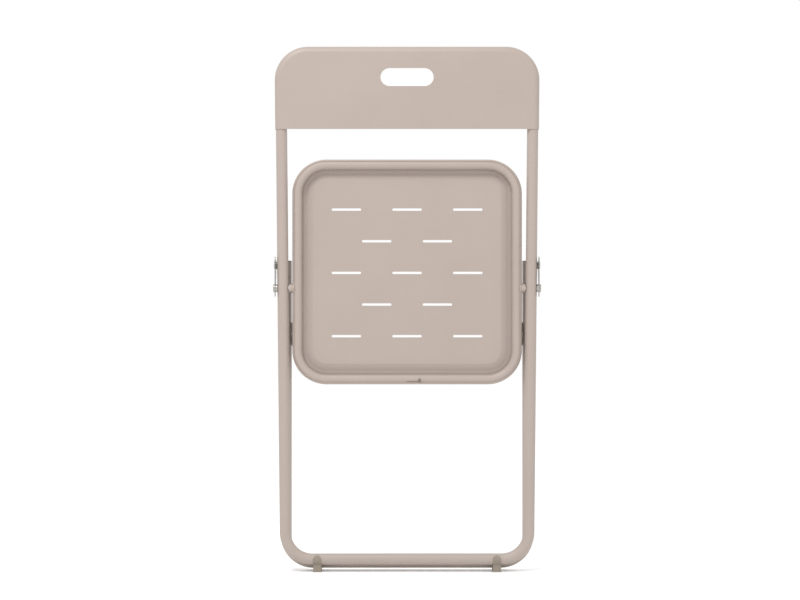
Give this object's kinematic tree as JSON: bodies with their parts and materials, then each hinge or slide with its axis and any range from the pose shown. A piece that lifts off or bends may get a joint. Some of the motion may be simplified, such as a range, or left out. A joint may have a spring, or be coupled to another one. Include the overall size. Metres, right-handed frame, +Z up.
{
  "type": "folding chair",
  "caption": "Tubular steel folding chair with slotted sheet seat and a backrest with a carrying slot, stored folded flat.",
  "frame": {"origin": "on the floor, midway between the sides and between the two frames, folded", "axes": "+X right, +Y towards the back of the folded chair, +Z up along the folded chair"},
  "size_m": [0.4536, 0.0434, 0.8892],
  "materials": {
    "paint": "satin powder coat",
    "bright_steel": "bright zinc",
    "plastic": "matte"
  },
  "bodies": {
    "main_frame": {"backrest_panel": "paint", "leg_pin_washer_left": "bright_steel", "leg_pin_washer_right": "bright_steel", "leg_pivot_pin_left": "bright_steel", "leg_pivot_pin_right": "bright_steel", "main_frame_foot_left": "plastic", "main_frame_foot_right": "plastic", "main_frame_tube": "paint", "pivot_plate_left": "bright_steel", "pivot_plate_right": "bright_steel", "seat_pin_washer_left": "bright_steel", "seat_pin_washer_right": "bright_steel", "seat_pivot_pin_left": "bright_steel", "seat_pivot_pin_right": "bright_steel"},
    "seat": {"seat_pan": "paint", "seat_pivot_boss_left": "paint", "seat_pivot_boss_right": "paint", "seat_ring_tube": "paint"},
    "leg_frame": {"leg_end_cap_left": "plastic", "leg_end_cap_right": "plastic", "leg_frame_foot_left": "plastic", "leg_frame_foot_right": "plastic", "leg_frame_tube": "paint", "leg_stop_left": "bright_steel", "leg_stop_right": "bright_steel"}
  },
  "joints": [
    {"name": "seat_fold", "type": "hinge", "parent": "main_frame", "child": "seat", "pos_m": [0, -0.011, 0.48], "axis": [1, 0, 0], "range_deg": [0, 112]},
    {"name": "leg_fold", "type": "hinge", "parent": "main_frame", "child": "leg_frame", "pos_m": [0, 0.011, 0.519], "axis": [1, 0, 0], "range_deg": [0, 45]}
  ],
  "couplings": [
    {"joint": "leg_fold", "follows": "seat_fold", "ratio": 0.4}
  ]
}
